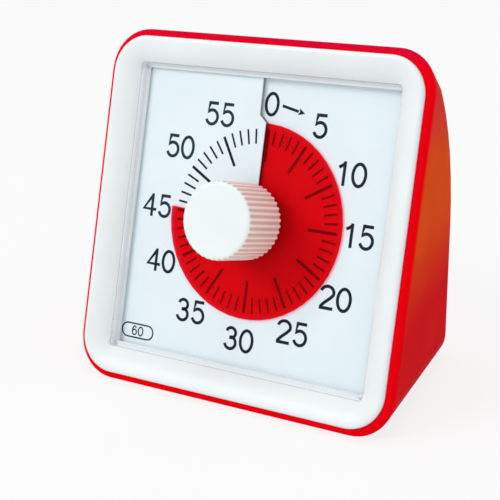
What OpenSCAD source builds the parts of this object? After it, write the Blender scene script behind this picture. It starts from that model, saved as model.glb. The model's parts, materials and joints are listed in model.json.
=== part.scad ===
// Visual countdown timer: a 60-minute dial with a red disc that shrinks as the time runs down.
// A wedge-shaped case leans the face back. Turning the ribbed knob draws a one-turn helical film
// out through the slit of a helical dial card, so that a red sector shows the minutes left.
// Units are millimetres. +Z is up, the face looks towards -Y, and the origin is the middle of
// the footprint, on the surface that the timer stands on.

/* [Case] */
// Width and height of the square face outline
face_size = 78; // [74:0.5:84]
// How far the face leans back from upright, in degrees
lean = 21; // [18:0.5:24]
// Depth of the base, from its front edge to the back wall
case_depth = 43.4; // [43.2:0.1:48]
// Thickness of the case wall
case_wall = 2; // [1.8:0.1:2]
// Corner radius of the face outline
rim_corner_r = 9; // [8:0.5:11]
// Draft of the side walls, in degrees
side_draft = 8.7; // [7:0.1:9.5]
// Rounding of the back edges
back_r = 5.5; // [4.5:0.5:6.5]
// Radius of the curve from the back wall to the top
crown_r = 57.4; // [56:0.2:62]
// Height at which the back wall starts to curve over
crown_start_h = 32; // [31.5:0.5:35]
// Height of the widest line of the rim above the dial
rim_h = 3.35; // [3:0.1:4]
// Height of the rim's rounding
rim_round_h = 1.8; // [1.5:0.1:2]
// Width of the rim's rounding
rim_round_w = 1.6; // [1.2:0.1:1.8]

/* [Bezel and lens] */
// Distance from the face outline to the edge of the bezel
bezel_inset = 1.6; // [1.5:0.05:1.9]
// Height of the bezel's lip above the dial
bezel_lip_h = 6; // [5.6:0.1:6.4]
// Rounding of the bezel's lip
bezel_lip_r = 0.8; // [0.6:0.1:1]
// Height of the bezel's flange under its lip
bezel_flange_t = 3.6; // [3.2:0.1:3.7]
// Half width of the window that holds the lens
window_half = 31.86; // [30:0.1:32.2]
// Height of the window's edge above the dial
window_h = 3.05; // [2.9:0.05:3.3]
// Corner radius of the window
window_corner_r = 1; // [0.4:0.1:1.4]
// Width of the ledge that the lens rests on
ledge_w = 1.03; // [0.8:0.05:1.2]
// Corner radius of the opening in the ledge
ledge_corner_r = 0.3; // [0.2:0.05:0.6]
// How far the slope of the bezel bulges
slope_bulge = 0.5; // [0:0.05:0.6]
// Thickness of the clear lens
lens_t = 1.4; // [1.2:0.1:1.5]
// Radius of the hole in the lens for the knob's boss
lens_hole_r = 4.3; // [4.1:0.1:5]
// Distance from the bezel's edge to its skirt
skirt_inset = 3.5; // [3.4:0.05:3.6]
// Thickness of the bezel's skirt
skirt_t = 1; // [0.9:0.05:1.1]
// Depth of the bezel's skirt behind the dial
skirt_depth = 0.6; // [0.4:0.1:0.6]

/* [Dial and film] */
// Height of the dial's centre above the middle of the face
dial_up = 0.42; // [0:0.02:0.8]
// Rise of the dial card and of the film in one turn
film_pitch = 1.1; // [1:0.05:1.15]
// Radius of the red film disc
film_r = 21; // [18:0.25:23]
// Thickness of the film
film_t = 0.15; // [0.1:0.01:0.2]
// Thickness of the dial card
card_t = 0.25; // [0.2:0.01:0.3]
// Radius of the hole in the dial card
card_hole_r = 4.7; // [4.5:0.1:5.2]
// How far the dial card reaches past the ledge, under the bezel
card_margin = 0.5; // [0.4:0.02:0.6]
// Sideways step of the card's slit, between the disc and the card's top edge
slit_shift = 1.9; // [0:0.1:3]
// Thickness of the dial plate's floor
plate_floor_t = 1.6; // [1.4:0.1:1.8]
// Gap between the film at its lowest and the floor of the dial plate
film_floor_gap = 0.32; // [0.25:0.01:0.4]
// Radius of the film's hub
film_hub_r = 4.2; // [3.8:0.1:4.4]

/* [Knob] */
// Height of the knob's front face above the dial
knob_top_h = 15.8; // [14:0.2:20]
// Radius of the knob over its grip ridges
knob_r = 8.15; // [7:0.05:9.5]
// Rounding of the front face's edge
knob_edge_r = 0.9; // [0.4:0.1:1]
// Number of grip grooves
knob_grooves = 40; // [30:1:44]
// Radius of the cutter that makes each grip groove
groove_r = 0.5; // [0.4:0.02:0.6]
// Depth of each grip groove
groove_depth = 0.3; // [0.2:0.02:0.35]
// Wall of the moulded knob
knob_wall = 1.5; // [1.2:0.1:2]
// Radius of the knob's boss
knob_boss_r = 3.6; // [3.2:0.1:3.8]

/* [Movement] */
// Radius of the arbor that carries the knob
arbor_r = 1.5; // [1.3:0.05:1.6]
// Radius of the arbor's back pivot
arbor_pivot_r = 0.7; // [0.5:0.05:0.8]
// Radius of the clutch washer
clutch_r = 3.4; // [3:0.1:3.6]
// Dish of the clutch washer
clutch_dish = 0.5; // [0.3:0.05:0.6]
// Gear module of the slow wheels
slow_module = 0.3; // [0.29:0.005:0.305]
// Gear module of the rotor's stage
fast_module = 0.25; // [0.24:0.005:0.255]
// Teeth of the centre wheel
centre_teeth = 60; // [54:1:60]
// Teeth of the third wheel's pinion
third_pinion_teeth = 10; // [9:1:11]
// Teeth of the third wheel
third_teeth = 60; // [54:1:60]
// Teeth of the fourth wheel's pinion
fourth_pinion_teeth = 8; // [8:1:10]
// Teeth of the fourth wheel
fourth_teeth = 64; // [56:1:66]
// Teeth of the rotor's pinion
rotor_pinion_teeth = 8; // [8:1:10]
// Thickness of the wheels
wheel_t = 0.8; // [0.6:0.05:0.9]
// Distance from one wheel's layer to the next
layer_step = 1.6; // [1.5:0.05:1.7]
// Radius of the rotor's magnet
rotor_r = 2.5; // [2.2:0.1:2.6]
// Inner depth of the movement's housing
movement_depth = 8; // [7.8:0.1:8.4]
// Wall of the movement's housing
movement_wall = 1; // [0.8:0.1:1.2]

/* [Battery] */
// Radius of the AA cell
cell_r = 7.1; // [6.8:0.05:7.25]
// Length of the AA cell, with its nub
cell_l = 50.5; // [49:0.1:50.5]
// Height of the battery bay's floor
bay_floor_h = 10.4; // [10.4:0.1:11]
// Height inside the battery bay
bay_inner_h = 15.6; // [15.2:0.1:16]
// Half width inside the battery bay
bay_half_w = 28.4; // [28:0.1:28.8]
// Wall of the battery bay
bay_wall = 1.2; // [1:0.1:1.2]
// Gap round the battery door
door_gap = 0.2; // [0.15:0.05:0.3]
// How far the door overlaps the bay's rim
door_lap = 0.8; // [0.6:0.1:0.9]
// Width and height of the battery contacts
contact_w = 10; // [8:0.5:12]
// Width and height of the pip that meets the cell's nub
contact_pip_w = 4; // [3:0.25:5]
// Radius of the battery spring at its plate
spring_low_r = 4.4; // [4:0.1:4.8]
// Radius of the battery spring at the cell
spring_high_r = 2.6; // [2.2:0.1:3]
// Radius of the battery spring's wire
spring_wire_r = 0.35; // [0.3:0.05:0.4]

/* [Electronics] */
// Thickness of the circuit board
board_t = 1.2; // [1:0.1:1.6]
// Length of the circuit board
board_l = 37; // [34:0.5:40]
// Height of the circuit board
board_h = 15; // [14:0.5:16]
// Height of the middle of the board above the table
board_mid_h = 36; // [35.5:0.1:37]
// Gap between the board and the back wall
board_standoff = 4.5; // [4.4:0.1:4.8]
// Radius of the buzzer
buzzer_r = 6.5; // [5:0.1:7]
// Travel of the volume switch to each side
switch_travel = 2.6; // [2:0.1:3]

/* [Fasteners] */
// Sideways distance of the case screws from the middle
case_screw_x = 24.5; // [24:0.1:25.5]
// Height of the case screws above the middle of the face
case_screw_up = 20; // [19:0.1:20.5]
// Radius of the case screws' shanks
case_screw_r = 1.1; // [0.9:0.05:1.3]
// Length of the posts that the case screws go into
case_post_l = 8.8; // [8.6:0.1:9]
// How far the case screws reach into their posts
case_screw_grip = 5.6; // [4.5:0.1:5.8]

/* [Clearances] */
// Gap between the bezel and the case
bezel_gap = 0.1; // [0.05:0.05:0.2]
// Gap round the lens
lens_gap = 0.1; // [0.05:0.05:0.15]
// Gap between the dial plate and the bezel's skirt
plate_gap = 0.2; // [0.1:0.05:0.3]
// Running gap round the arbors and pivots
run_gap = 0.05; // [0.03:0.01:0.08]
// Gap between pieces that are pressed or screwed together
seat_gap = 0.02; // [0.01:0.01:0.04]
// Gap between the knob and the lens
knob_gap = 0.35; // [0.25:0.05:0.5]

/* [Hidden] */
$fn = 48;
sliver = 0.01;
half = face_size / 2;
fine_step = 0.5;

// The case, measured from the front edge of its base
bezel_half = half - bezel_inset;
pocket_half = bezel_half + bezel_gap;
bezel_corner_r = rim_corner_r - bezel_inset + 0.6;
pocket_h = bezel_lip_h - bezel_flange_t;
lip_reach = (bezel_inset + bezel_lip_r) * sin(lean) - (bezel_lip_h - bezel_lip_r - rim_h) * cos(lean);
rim_reach = rim_round_w * (1 - cos(75)) * sin(lean) - rim_round_h * sin(75) * cos(lean);
front_y = min(lip_reach - bezel_lip_r, rim_reach);
mid_y = (case_depth + front_y) / 2;
face_y = half * sin(lean) + rim_h * cos(lean);
face_z = half * cos(lean) - rim_h * sin(lean);
inner_back_y = case_depth - case_wall;
ROUNDING_STEPS = [0, 25, 50, 75];
CROWN_STEPS = [0:6:42];
crown_rim_gap = 3.5;
BACK_BALLS = concat(
    [[case_depth - back_r, back_r]],
    [for (a = CROWN_STEPS) let (
            ball = [
                case_depth - crown_r + (crown_r - back_r) * cos(a),
                crown_start_h + (crown_r - back_r) * sin(a)
            ]
        ) if (rim_depth(ball[0], ball[1]) > crown_rim_gap) ball]
);

// Layers of the face, as heights above the dial
lens_front_h = window_h - 0.1;
ledge_h = lens_front_h - lens_t;
card_top_h = film_pitch / 2 + card_t / 2;
bezel_under_h = card_top_h + 0.175;
plate_ledge_h = -card_top_h - 0.025;
film_low_h = -film_pitch - film_t / 2;
plate_floor_h = film_low_h - film_floor_gap;
plate_back_h = plate_floor_h - plate_floor_t;
film_pocket_r = film_r + 1;
ledge_half = window_half - ledge_w;
card_half = ledge_half + card_margin;
plate_pocket_half = card_half + 0.2;
skirt_half = bezel_half - skirt_inset;
skirt_inner_half = skirt_half - skirt_t;
plate_half = skirt_inner_half - plate_gap;
plate_corner_r = bezel_corner_r - (bezel_half - plate_half);
plate_step_h = plate_back_h + 1;
plate_step_w = 1.2;
lug_reach = 1;
lug_t = 1.5;
lug_l = 8;
lug_down = 20;

// The film: its free edge stands just past 45 minutes when the timer is at rest
rest_angle = 272;
film_rest_low = film_pitch * (rest_angle - 360) / 360;
film_rest_high = film_pitch * rest_angle / 360;
hub_margin = 0.22;
hub_low_h = film_rest_low - hub_margin;
hub_high_h = film_rest_high + hub_margin;
film_full_high = film_pitch + hub_margin;
film_steps = 48;
card_steps = 48;
slit_round_r = film_r + 0.1;
slit_kink_r = film_r + 1.6;
slit_kink_x = -0.9 * slit_shift;

// The knob
knob_base_h = lens_front_h + knob_gap;
knob_boss_low_h = film_full_high + 0.25;
knob_floor_r = knob_r - groove_depth;
knob_bore_top_h = knob_top_h - 4;

// The movement, as heights above the dial
front_plate_back_h = plate_back_h - movement_wall;
cover_front_h = front_plate_back_h - movement_depth;
cover_back_h = cover_front_h - movement_wall;
layer_1_h = front_plate_back_h - 1.4;
layer_2_h = layer_1_h - layer_step;
layer_3_h = layer_2_h - layer_step;
pinion_extra = 0.2;
bush_r = 2.6;
bush_top_h = plate_floor_h + 0.02;
pressure_angle = 20;
backlash = 0.06;
third_axis_angle = 100;
fourth_axis_angle = 10;
rotor_axis_angle = -60;
third_distance = slow_module * (centre_teeth + third_pinion_teeth) / 2;
fourth_distance = slow_module * (third_teeth + fourth_pinion_teeth) / 2;
rotor_distance = fast_module * (fourth_teeth + rotor_pinion_teeth) / 2;
THIRD_AT = third_distance * [cos(third_axis_angle), sin(third_axis_angle)];
FOURTH_AT = THIRD_AT + fourth_distance * [cos(fourth_axis_angle), sin(fourth_axis_angle)];
ROTOR_AT = FOURTH_AT + rotor_distance * [cos(rotor_axis_angle), sin(rotor_axis_angle)];
third_phase = mesh_phase(centre_teeth, 0, third_pinion_teeth, third_axis_angle);
fourth_phase = mesh_phase(third_teeth, third_phase, fourth_pinion_teeth, fourth_axis_angle);
rotor_phase = mesh_phase(fourth_teeth, fourth_phase, rotor_pinion_teeth, rotor_axis_angle);
centre_tip_r = tip_radius(centre_teeth, slow_module, -0.5);
third_tip_r = tip_radius(third_teeth, slow_module, -0.5);
fourth_tip_r = tip_radius(fourth_teeth, fast_module, -0.5);
housing_gap = 1.1;
stator_right = ROTOR_AT[0] + 5.3;
stator_left = -11;
coil_v = -10.5;
leg_w = 3.6;
core_h = 1;
coil_flange_half = 2.7;
core_w = 3.4;
coil_tube_w = core_w + 0.8;
coil_tube_h = core_h + 0.8;
coil_wire_w = 2 * coil_flange_half - 0.4;
coil_flange_t = 0.6;
HOUSING_LOW = [stator_left - housing_gap, coil_v - coil_flange_half - housing_gap];
HOUSING_HIGH = [stator_right + housing_gap, FOURTH_AT[1] + fourth_tip_r + housing_gap];
stator_t = 1;
stator_back_h = cover_front_h + 1.3;
core_back_h = stator_back_h + stator_t;
coil_mid_h = core_back_h + core_h / 2;
coil_low = -6;
coil_high = 13;
arbor_collar_r = 2.6;
arbor_top_h = knob_bore_top_h - 0.1;
flat_half = arbor_r * 0.77;

// The battery bay, measured from the front edge of the base
bay_mid_z = bay_floor_h + bay_inner_h / 2;
bay_front_y = inner_back_y - 2 * cell_r - 1;
cell_y = inner_back_y - 0.5 - cell_r;
cell_right = bay_half_w - 1.5;
cell_left = cell_right - cell_l;
nub_l = 1.1;
nub_r = 2.7;
bay_slope_h = cover_back_h - 0.25;
door_half_w = bay_half_w - 1.5;
door_low_z = bay_floor_h - door_lap;
door_high_z = bay_floor_h + bay_inner_h + door_lap;
door_corner_r = 1.5;
hinge_r = case_wall / 2;
hinge_y = case_depth - hinge_r;
hinge_z = door_low_z + hinge_r;
hinge_pin_r = 0.5;
hinge_pin_l = 1;
grip_r = 5.2;
grip_depth = 0.8;
contact_t = 0.4;

// The electronics, measured from the front edge of the base
board_back_y = inner_back_y - board_standoff;
board_front_y = board_back_y - board_t;
board_mid_x = -1.5;
buzzer_x = board_mid_x - 9.5;
switch_x = board_mid_x + 9.5;
buzzer_t = 3;
slot_l = 8;
slot_w = 1.2;
slot_step = 2.4;
slot_count = 5;
nub_half_w = 1.6;
nub_half_h = 1.5;
switch_body_t = 2.7;
switch_wall = 1;
switch_recess = 1;
BOARD_BOSSES = [for (side = [-1, 1])
    [board_mid_x + side * (board_l / 2 - 2), board_mid_h - board_h / 2 + 2]];
board_boss_r = 1.8;
board_screw_r = 0.8;

// The case screws, as heights above the dial
post_r = 2.8;
post_back_h = plate_back_h - case_post_l;
well_front_h = post_back_h - 0.1;
well_seat_h = well_front_h - 1.6;
well_r = 3.4;
head_r = 2;
head_h = 1.4;
screw_tip_h = post_back_h + case_screw_grip;

// ---------- frames ----------

// y is measured from the front edge of the base
module in_case() { translate([0, -mid_y, 0]) children(); }

// x is right, y is up the face and z is out of it; the origin is the middle of the face
module on_face() {
    in_case() translate([0, face_y, face_z]) rotate([90 - lean, 0, 0]) children();
}

// the same frame, with its origin at the dial's centre
module on_dial() { on_face() translate([0, dial_up, 0]) children(); }

// ---------- shared shapes ----------

module round_rect(width, height, r) {
    square([width - 2 * r, height], center = true);
    square([width, height - 2 * r], center = true);
    for (x = [-1, 1], y = [-1, 1])
        translate([x * (width / 2 - r), y * (height / 2 - r)]) circle(r);
}

module rod(low, high, r) { translate([0, 0, low]) cylinder(h = high - low, r = r); }

// a plate between two depths behind the case's front edge, drawn as seen from the front
module wall_plate(front, back) {
    translate([0, back, 0]) rotate([90, 0, 0]) linear_extrude(back - front) children();
}

// how far a point of the case lies behind the widest line of the rim
function rim_depth(y, z) = y * cos(lean) - z * sin(lean);
function ball_x(y, z) = half - tan(side_draft) * rim_depth(y, z) - back_r / cos(side_draft);

// the outer form of the case, or the same form with every face moved in
module case_form(inset, fn) {
    hull() {
        on_face() for (a = inset == 0 ? ROUNDING_STEPS : [0])
            translate([0, 0, rim_h + rim_round_h * sin(a) - sliver])
                linear_extrude(sliver)
                    round_rect(
                        2 * (half - inset - rim_round_w * (1 - cos(a))),
                        2 * (half - inset - rim_round_w * (1 - cos(a))),
                        rim_corner_r - inset
                    );
        in_case() for (side = [-1, 1], ball = BACK_BALLS)
            translate([side * ball_x(ball[0], ball[1]), ball[0], ball[1]])
                sphere(back_r - inset, $fn = fn);
        in_case() case_flats(inset);
    }
}

// the flat of the base and the flat of the back wall
module case_flats(inset) {
    low = BACK_BALLS[0];
    high = BACK_BALLS[1];
    translate([0, 0, inset]) linear_extrude(sliver) polygon([
        [-half + rim_corner_r, inset + sliver],
        [half - rim_corner_r, inset + sliver],
        [ball_x(low[0], low[1]), low[0]],
        [-ball_x(low[0], low[1]), low[0]]
    ]);
    wall_plate(case_depth - inset - sliver, case_depth - inset) polygon([
        [-ball_x(low[0], low[1]), low[1]],
        [ball_x(low[0], low[1]), low[1]],
        [ball_x(high[0], high[1]), high[1]],
        [-ball_x(high[0], high[1]), high[1]]
    ]);
}

// a frame whose profile runs round a square; x is measured from the middle of the square
module frame_sweep(profile, corner) {
    for (turn = [0:90:270]) rotate(turn) {
        translate([0, corner, 0]) rotate([90, 0, 0]) linear_extrude(2 * corner) polygon(profile);
        translate([corner, corner, 0]) rotate_extrude(angle = 90)
            polygon([for (p = profile) [p[0] - corner, p[1]]]);
    }
}

// a point on a shallow curve from a to b that bulges by s; t runs from 0 to 1
function bulged(a, b, s, t) = let (
        across = b - a,
        side = [across[1], -across[0]] / norm(across)
    ) a + across * t + side * s * 4 * t * (1 - t);

// ---------- gears ----------

function deg(rad) = rad * 180 / PI;
function tip_radius(teeth, m, shift) = m * (teeth / 2 + shift + (shift > 0 ? 0.7 : 0.95));
function involute_deg(angle) = deg(tan(angle)) - angle;

// the turn that lets gear 2 mesh with gear 1, which is turned by phase_1
function mesh_phase(teeth_1, phase_1, teeth_2, direction) =
    direction + 180 - 360 / teeth_2 * (0.5 - (direction - phase_1) * teeth_1 / 360);

// half the angle of a tooth at radius r
function tooth_half(teeth, m, shift, r) = let (
        pitch_r = m * teeth / 2,
        base_r = pitch_r * cos(pressure_angle)
    ) (90 + deg(2 * shift * tan(pressure_angle))) / teeth - deg(backlash / 2 / pitch_r)
        + involute_deg(pressure_angle) - involute_deg(acos(min(1, base_r / r)));

module gear_outline(teeth, m, shift) {
    pitch_r = m * teeth / 2;
    base_r = pitch_r * cos(pressure_angle);
    root_r = pitch_r - m * (1.2 - shift);
    tip_r = tip_radius(teeth, m, shift);
    flank_r = max(base_r, root_r);
    flank = [root_r, flank_r, (flank_r + tip_r) / 2, tip_r];
    polygon([for (i = [0:teeth - 1], s = [-1, 1], k = [0:3])
        let (
            r = s < 0 ? flank[k] : flank[3 - k],
            a = i * 360 / teeth + s * tooth_half(teeth, m, shift, max(r, flank_r))
        ) r * [cos(a), sin(a)]]);
}

module wheel(teeth, m, low) {
    translate([0, 0, low - wheel_t / 2]) linear_extrude(wheel_t) gear_outline(teeth, m, -0.5);
}

module pinion(teeth, m, low) {
    width = wheel_t + 2 * pinion_extra;
    translate([0, 0, low - width / 2]) linear_extrude(width) gear_outline(teeth, m, 0.5);
}

// ---------- case ----------

module rear_case() {
    color("crimson") difference() {
        union() {
            difference() {
                case_form(0, 32);
                case_form(case_wall, 24);
            }
            intersection() {
                case_form(case_wall / 2, 16);
                case_inside();
            }
            case_catches();
        }
        on_face() translate([0, 0, pocket_h]) linear_extrude(rim_h + rim_round_h)
            round_rect(2 * pocket_half, 2 * pocket_half, bezel_corner_r + bezel_gap);
        in_case() door_opening();
        in_case() sound_slots();
        in_case() switch_cutout();
        for (side = [-1, 1]) on_face() translate([side * case_screw_x, case_screw_up, 0]) {
            rod(well_front_h - 2 * case_wall, well_front_h + 1, case_screw_r + 0.2);
            rod(-case_depth, well_seat_h, head_r + 0.3);
        }
        in_case() for (boss = BOARD_BOSSES)
            wall_plate(board_back_y - 1, inner_back_y - 0.6) translate(boss) circle(board_screw_r);
    }
}

// the battery bay, the screw wells and the board's bosses, inside the shell
module case_inside() {
    bay_back_y = inner_back_y + fine_step;
    difference() {
        bay_block(bay_wall, bay_back_y, bay_slope_h);
        bay_block(0, bay_back_y + 1, bay_slope_h - bay_wall);
    }
    in_case() for (side = [-1, 1]) translate([side * 17 - 0.7, bay_front_y - bay_wall, 0])
        cube([1.4, case_depth - bay_front_y, bay_floor_h - bay_wall + fine_step]);
    for (side = [-1, 1]) on_face() translate([side * case_screw_x, case_screw_up, 0])
        rod(-case_depth, well_front_h, well_r);
    in_case() for (boss = BOARD_BOSSES)
        wall_plate(board_back_y, case_depth) translate(boss) circle(board_boss_r);
}

// the battery bay's box; its front is cut off along the movement's back, at slope_h
module bay_block(grow, back, slope_h) {
    difference() {
        in_case() wall_plate(bay_front_y - grow, back) translate([0, bay_mid_z])
            square([2 * (bay_half_w + grow), bay_inner_h + 2 * grow], center = true);
        on_dial() translate([-half, -half, slope_h]) cube([2 * half, 2 * half, half]);
    }
}

// ridges that hold the bezel's lugs
module case_catches() {
    catch_low_h = -skirt_depth + lug_t + 0.1;
    catch_in = skirt_half + 0.4;
    catch_out = half - case_wall;
    for (side = [-1, 1]) on_face()
        translate([side * (catch_in + catch_out) / 2, -lug_down, (catch_low_h + pocket_h) / 2])
            cube([catch_out - catch_in, lug_l, pocket_h - catch_low_h], center = true);
}

module door_opening() {
    wall_plate(inner_back_y - 0.05, case_depth + 1) {
        door_outline(door_gap);
        translate([-door_half_w - door_gap, door_low_z - door_gap])
            square([2 * (door_half_w + door_gap), 2 * hinge_r]);
    }
    hinge_rod(door_half_w + hinge_pin_l + door_gap, hinge_pin_r + run_gap);
}

module door_outline(gap) {
    translate([0, (door_low_z + door_high_z) / 2])
        round_rect(2 * (door_half_w + gap), door_high_z - door_low_z + 2 * gap, door_corner_r + gap);
}

module hinge_rod(half_l, r) {
    translate([-half_l, hinge_y, hinge_z]) rotate([0, 90, 0]) cylinder(h = 2 * half_l, r = r);
}

module sound_slots() {
    for (i = [0:slot_count - 1])
        wall_plate(inner_back_y - 1, case_depth + 1)
            translate([buzzer_x + (i - (slot_count - 1) / 2) * slot_step, board_mid_h])
                round_rect(slot_w, slot_l, slot_w / 2 - sliver);
}

module switch_cutout() {
    reach = nub_half_w + switch_travel;
    wall_plate(inner_back_y - 1, case_depth + 1) translate([switch_x, board_mid_h])
        square([2 * (reach + 0.4), 2 * (nub_half_h + 0.3)], center = true);
    wall_plate(case_depth - switch_recess, case_depth + 1) translate([switch_x, board_mid_h])
        round_rect(2 * (reach + 1.6), 2 * (nub_half_h + 1.5), 1.5);
}

module bezel() {
    slope_out = [bezel_half - bezel_lip_r - 0.2, bezel_lip_h];
    slope_in = [window_half - 0.1, window_h];
    corner = bezel_half - bezel_corner_r;
    lip = [bezel_half - bezel_lip_r, bezel_lip_h - bezel_lip_r];
    profile = concat(
        [
            [ledge_half - 1, bezel_under_h], [skirt_inner_half, bezel_under_h],
            [skirt_inner_half, -skirt_depth], [skirt_half, -skirt_depth],
            [skirt_half, pocket_h], [bezel_half, pocket_h]
        ],
        [for (a = [0:15:90]) lip + bezel_lip_r * [cos(a), sin(a)]],
        [for (i = [0:8]) bulged(slope_out, slope_in, slope_bulge, i / 8)],
        [[ledge_half - 1, window_h]]
    );
    color("white") on_face() {
        difference() {
            frame_sweep(profile, corner);
            translate([0, 0, ledge_h]) linear_extrude(half)
                round_rect(2 * window_half, 2 * window_half, window_corner_r);
            linear_extrude(half) round_rect(2 * ledge_half, 2 * ledge_half, ledge_corner_r);
        }
        for (side = [-1, 1])
            translate([side * (skirt_half - skirt_t / 2 + lug_reach / 2), -lug_down, lug_t / 2 - skirt_depth])
                cube([skirt_t + lug_reach, lug_l - 1, lug_t], center = true);
    }
}

module lens() {
    size = 2 * (window_half - lens_gap);
    corner = window_corner_r - lens_gap;
    color("aliceblue", 0.3) difference() {
        on_face() translate([0, 0, ledge_h]) linear_extrude(lens_t) round_rect(size, size, corner);
        on_dial() rod(ledge_h - 1, lens_front_h + 1, lens_hole_r);
    }
}

// ---------- dial ----------

// height of the card's middle at a clockwise angle from the slit
function card_h(angle) = film_pitch * (angle / 360 - 0.5);

// distance from the dial's centre to the card's edge
function card_edge(angle) = let (s = abs(sin(angle)), c = cos(angle))
    min(s < 0.001 ? 2 * half : card_half / s, abs(c) < 0.001 ? 2 * half :
        c > 0 ? (card_half - dial_up) / c : (card_half + dial_up) / -c);

// the card's points along one line from its hole to its edge
function card_line(i) = let (
        angle = i * 360 / card_steps,
        out = [sin(angle), cos(angle)],
        at_slit = i == 0 || i == card_steps
    ) [
        card_hole_r * out,
        slit_round_r * out,
        at_slit ? [slit_kink_x, slit_kink_r] : slit_kink_r * out,
        at_slit ? [-slit_shift, card_half - dial_up] : card_edge(angle) * out
    ];

// a ribbed sheet between lines of points: each line climbs, and the sheet has two free ends
module ruled_sheet(lines, heights, t) {
    rows = len(lines);
    cols = len(lines[0]);
    function at(i, j, up) = (i * cols + j) * 2 + up;
    points = [for (i = [0:rows - 1], j = [0:cols - 1], up = [-1, 1])
        [lines[i][j][0], lines[i][j][1], heights[i] + up * t / 2]];
    skins = [for (i = [0:rows - 2], j = [0:cols - 2]) each [
        [at(i, j, 1), at(i, j + 1, 1), at(i + 1, j + 1, 1)],
        [at(i, j, 1), at(i + 1, j + 1, 1), at(i + 1, j, 1)],
        [at(i, j, 0), at(i + 1, j + 1, 0), at(i, j + 1, 0)],
        [at(i, j, 0), at(i + 1, j, 0), at(i + 1, j + 1, 0)]
    ]];
    rims = [for (i = [0:rows - 2]) each [
        [at(i, 0, 0), at(i, 0, 1), at(i + 1, 0, 1)],
        [at(i, 0, 0), at(i + 1, 0, 1), at(i + 1, 0, 0)],
        [at(i, cols - 1, 1), at(i, cols - 1, 0), at(i + 1, cols - 1, 1)],
        [at(i, cols - 1, 0), at(i + 1, cols - 1, 0), at(i + 1, cols - 1, 1)]
    ]];
    ends = [for (j = [0:cols - 2]) each [
        [at(0, j, 0), at(0, j + 1, 0), at(0, j + 1, 1)],
        [at(0, j, 0), at(0, j + 1, 1), at(0, j, 1)],
        [at(rows - 1, j, 1), at(rows - 1, j + 1, 1), at(rows - 1, j + 1, 0)],
        [at(rows - 1, j, 1), at(rows - 1, j + 1, 0), at(rows - 1, j, 0)]
    ]];
    polyhedron(points, concat(skins, rims, ends));
}

module dial_card() {
    color("azure") on_dial() ruled_sheet(
        [for (i = [0:card_steps]) card_line(i)],
        [for (i = [0:card_steps]) card_h(i * 360 / card_steps)],
        card_t
    );
}

module dial_plate() {
    color("gainsboro") difference() {
        union() {
            on_face() translate([0, 0, plate_step_h]) linear_extrude(bezel_under_h - plate_step_h)
                round_rect(2 * plate_half, 2 * plate_half, plate_corner_r);
            on_face() translate([0, 0, plate_back_h]) linear_extrude(plate_step_h - plate_back_h + sliver)
                round_rect(
                    2 * (plate_half - plate_step_w), 2 * (plate_half - plate_step_w),
                    plate_corner_r - plate_step_w
                );
            for (side = [-1, 1]) on_face() translate([side * case_screw_x, case_screw_up, 0])
                rod(post_back_h, plate_back_h + 1, post_r);
        }
        on_face() translate([0, 0, plate_ledge_h]) linear_extrude(half)
            round_rect(2 * plate_pocket_half, 2 * plate_pocket_half, fine_step);
        on_dial() rod(plate_floor_h, half, film_pocket_r);
        on_dial() rod(plate_back_h - 1, half, bush_r + 0.1);
        for (side = [-1, 1]) on_face() translate([side * case_screw_x, case_screw_up, 0])
            rod(post_back_h - 1, screw_tip_h + 0.3, case_screw_r);
    }
}

// ---------- film ----------

module red_film() {
    start = rest_angle - 360;
    turn = 360 / film_steps;
    color("red", 0.85) on_dial() ruled_sheet(
        [for (i = [0:film_steps]) [
            (film_hub_r + seat_gap) * [sin(start + i * turn), cos(start + i * turn)],
            film_r * [sin(start + i * turn), cos(start + i * turn)]
        ]],
        [for (i = [0:film_steps]) film_pitch * (start + i * turn) / 360],
        film_t
    );
}

module film_hub() {
    color("white") on_dial() difference() {
        rod(hub_low_h, hub_high_h, film_hub_r);
        flatted_rod(hub_low_h - 1, hub_high_h + 1, run_gap);
    }
}

// the arbor's upper part, which has two flats; gap widens it into a bore
module flatted_rod(low, high, gap) {
    intersection() {
        rod(low, high, arbor_r + gap);
        translate([-arbor_r - 1, -flat_half - gap, low]) cube([2 * arbor_r + 2, 2 * (flat_half + gap), high - low]);
    }
}

// ---------- knob ----------

module knob() {
    rim = knob_r - knob_edge_r;
    color("white") on_dial() difference() {
        union() {
            rotate_extrude() polygon(concat(
                [[0, knob_base_h], [knob_r, knob_base_h]],
                [for (a = [0:15:90]) [rim + knob_edge_r * cos(a), knob_top_h - knob_edge_r * (1 - sin(a))]],
                [[0, knob_top_h]]
            ));
            rod(knob_boss_low_h, knob_base_h + 1, knob_boss_r);
        }
        for (i = [0:knob_grooves - 1]) rotate((i + 0.5) * 360 / knob_grooves)
            translate([knob_floor_r + groove_r, 0, 0])
                rod(knob_base_h - 1, knob_top_h + 1, groove_r, $fn = 16);
        difference() {
            rod(knob_base_h - 1, knob_top_h - knob_wall, knob_floor_r - knob_wall);
            rod(knob_boss_low_h, knob_top_h, knob_boss_r);
            for (turn = [0:60:120]) rotate(turn) translate([-half, -0.6, knob_base_h + 1])
                cube([2 * half, 1.2, knob_top_h]);
        }
        flatted_rod(knob_boss_low_h - 1, knob_bore_top_h, seat_gap);
    }
}

module knob_arbor() {
    collar_h = layer_1_h - wheel_t / 2;
    color("goldenrod") on_dial() {
        rod(cover_back_h, collar_h, arbor_pivot_r);
        rod(collar_h - 0.5, collar_h, arbor_collar_r);
        rod(collar_h, plate_floor_h, arbor_r);
        flatted_rod(plate_floor_h, arbor_top_h, 0);
    }
}

// a dished washer that presses the centre wheel against the arbor's collar
module clutch_spring() {
    low = layer_1_h + wheel_t / 2;
    color("silver") on_dial() rotate_extrude() polygon([
        [arbor_r + run_gap, low + clutch_dish + 0.05], [arbor_r + run_gap, low + clutch_dish + 0.2],
        [clutch_r, low + 0.2], [clutch_r, low + 0.05]
    ]);
}

// ---------- movement ----------

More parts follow.
